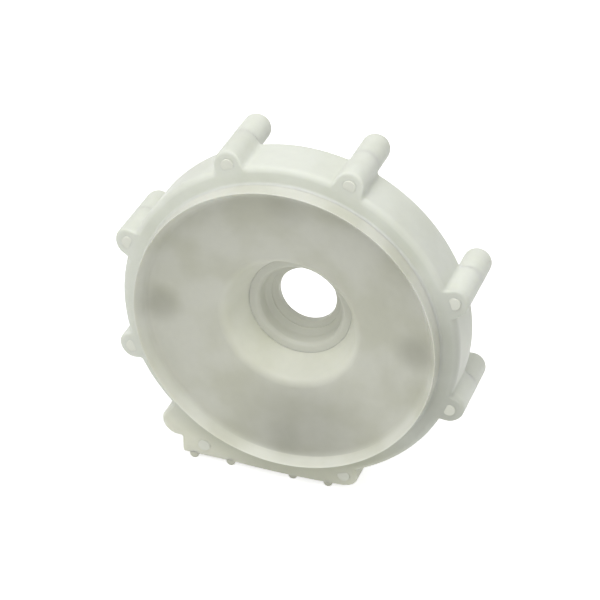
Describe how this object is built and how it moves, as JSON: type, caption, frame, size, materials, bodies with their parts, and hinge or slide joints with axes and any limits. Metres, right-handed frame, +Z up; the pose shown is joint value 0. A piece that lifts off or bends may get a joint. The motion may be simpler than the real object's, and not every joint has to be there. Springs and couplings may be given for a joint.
{
  "type": "spur gear",
  "caption": "Dished pin-tooth spur gear with round axial pins round its skirt, turning on a flanged bush with a plain shaft bore.",
  "frame": {"origin": "on the wheel's axis, at the middle of the shaft bore's length", "axes": "+Y along the wheel's axis, from the dished front to the pins' free ends; +Z up, with the ribs of the foot standing on the ground"},
  "size_m": [0.0756, 0.0228, 0.0767],
  "materials": {
    "milky_plastic": "natural translucent plastic, satin moulded skin",
    "pin_plastic": "natural translucent plastic, satin moulded skin",
    "bush_plastic": "natural plastic, smooth bearing surface",
    "ring_steel": "spring steel, plain"
  },
  "bodies": {
    "bush": {"shaft_bush": "bush_plastic", "retaining_ring": "ring_steel"},
    "wheel": {"dish": "milky_plastic", "tooth_ring": "milky_plastic", "tooth_pin_1": "pin_plastic", "tooth_pin_2": "pin_plastic", "tooth_pin_3": "pin_plastic", "tooth_pin_4": "pin_plastic", "tooth_pin_5": "pin_plastic", "tooth_pin_6": "pin_plastic", "tooth_pin_7": "pin_plastic", "tooth_pin_8": "pin_plastic"}
  },
  "joints": [
    {"name": "wheel_spin", "type": "hinge", "parent": "bush", "child": "wheel", "pos_m": [0, 0, 0], "axis": [0, 1, 0], "continuous": true}
  ]
}
